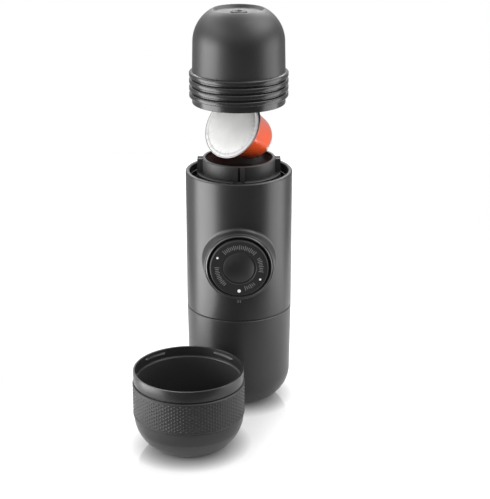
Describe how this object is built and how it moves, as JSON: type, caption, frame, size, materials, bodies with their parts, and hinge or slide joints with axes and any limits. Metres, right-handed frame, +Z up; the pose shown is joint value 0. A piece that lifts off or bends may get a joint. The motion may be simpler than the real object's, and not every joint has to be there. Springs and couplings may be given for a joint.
{
  "type": "handheld espresso maker",
  "caption": "Cylindrical hand-pumped espresso maker taken apart: water tank, casing with side pump knob, capsule holder, capsule, domed outlet head and bowl-shaped cup.",
  "frame": {"origin": "centre of the water tank's flat foot, on the surface it stands on", "axes": "+Z up along the casing's axis, -Y towards the side that the pump knob faces, +X to the right seen from there"},
  "size_m": [0.0866, 0.1224, 0.225],
  "materials": {
    "casing": "fine matte moulding",
    "tank": "fine matte moulding",
    "head_plastic": "satin moulding",
    "cup_plastic": "satin moulding",
    "grip_plastic": "fine knurl",
    "knob_plastic": "satin moulding",
    "dish_plastic": "fine matte moulding",
    "holder_plastic": "satin moulding",
    "inner_plastic": "plain moulding",
    "pump_plastic": "plain moulding",
    "rod_plastic": "smooth moulding",
    "tube_plastic": "milky extrusion",
    "sleeve_black": "smooth moulding",
    "nozzle_black": "satin moulding",
    "seal_rubber": "moulded silicone",
    "spring_steel": "drawn wire",
    "needle_steel": "stamped",
    "ball_steel": "polished",
    "capsule_aluminium": "lacquered red-orange",
    "capsule_lid": "brushed foil",
    "ground_coffee": "ground coffee"
  },
  "bodies": {
    "water_tank": {"tank_shell": "tank"},
    "seal_carrier": {"tank_seal": "seal_rubber"},
    "main_body": {"body_shell": "casing", "base_plate": "inner_plastic", "suction_tube": "tube_plastic", "suction_strainer": "inner_plastic", "inlet_valve_seat": "inner_plastic", "pump_cradle": "inner_plastic", "water_manifold": "inner_plastic", "pump_cylinder": "pump_plastic", "guide_collar": "inner_plastic", "bore_sleeve": "sleeve_black", "piston_spring": "spring_steel", "capsule_holder": "holder_plastic", "needle_plate": "needle_steel"},
    "inlet_valve": {"inlet_ball": "ball_steel"},
    "outlet_valve": {"outlet_ball": "ball_steel"},
    "pump_piston": {"plunger": "rod_plastic", "piston_seal": "seal_rubber"},
    "knob": {"knob_cap": "knob_plastic", "knob_dish": "dish_plastic"},
    "gasket_carrier": {"head_gasket": "seal_rubber"},
    "outlet_head": {"head_dome": "head_plastic", "extraction_plate": "needle_steel", "coffee_funnel": "inner_plastic", "outlet_nozzle": "nozzle_black"},
    "capsule": {"capsule_cup": "capsule_aluminium", "capsule_foil": "capsule_lid", "coffee_bed": "ground_coffee"},
    "cup": {"cup_shell": "cup_plastic", "cup_grip_sleeve": "grip_plastic"}
  },
  "joints": [
    {"name": "body_lift", "type": "slide", "parent": "water_tank", "child": "seal_carrier", "axis": [0, 0, 1], "range_m": [0, 0.064]},
    {"name": "body_turn", "type": "hinge", "parent": "seal_carrier", "child": "main_body", "pos_m": [0, 0, 0.0652], "axis": [0, 0, 1], "range_deg": [0, 2880]},
    {"name": "head_lift", "type": "slide", "parent": "main_body", "child": "gasket_carrier", "axis": [0, 0, 1], "range_m": [-0.048, 0]},
    {"name": "head_turn", "type": "hinge", "parent": "gasket_carrier", "child": "outlet_head", "pos_m": [0, 0, 0.174], "axis": [0, 0, 1], "range_deg": [-2160, 0]},
    {"name": "capsule_tip", "type": "hinge", "parent": "gasket_carrier", "child": "capsule", "pos_m": [0.0152, 0.01812, 0.17187], "axis": [0.766, -0.6428, 0], "range_deg": [-60, 0]},
    {"name": "piston_stroke", "type": "slide", "parent": "main_body", "child": "pump_piston", "axis": [0, -1, 0], "range_m": [0, 0.018], "deforming": ["piston_spring"]},
    {"name": "knob_turn", "type": "hinge", "parent": "pump_piston", "child": "knob", "pos_m": [0, -0.0364, 0.091], "axis": [0, -1, 0], "range_deg": [0, 60]},
    {"name": "inlet_ball_lift", "type": "slide", "parent": "main_body", "child": "inlet_valve", "axis": [0, 0, 1], "range_m": [0, 0.001]},
    {"name": "outlet_ball_lift", "type": "slide", "parent": "main_body", "child": "outlet_valve", "axis": [0, 0, 1], "range_m": [0, 0.001]},
    {"name": "cup_lift", "type": "slide", "parent": "water_tank", "child": "cup", "axis": [-0.25, -0.45, 0.8573], "range_m": [0, 0.07]}
  ],
  "couplings": [
    {"joint": "body_lift", "follows": "body_turn", "m_per_rad": 0.0012732},
    {"joint": "head_lift", "follows": "head_turn", "m_per_rad": 0.0012732},
    {"joint": "capsule_tip", "follows": "head_turn", "ratio": 0.027778}
  ]
}
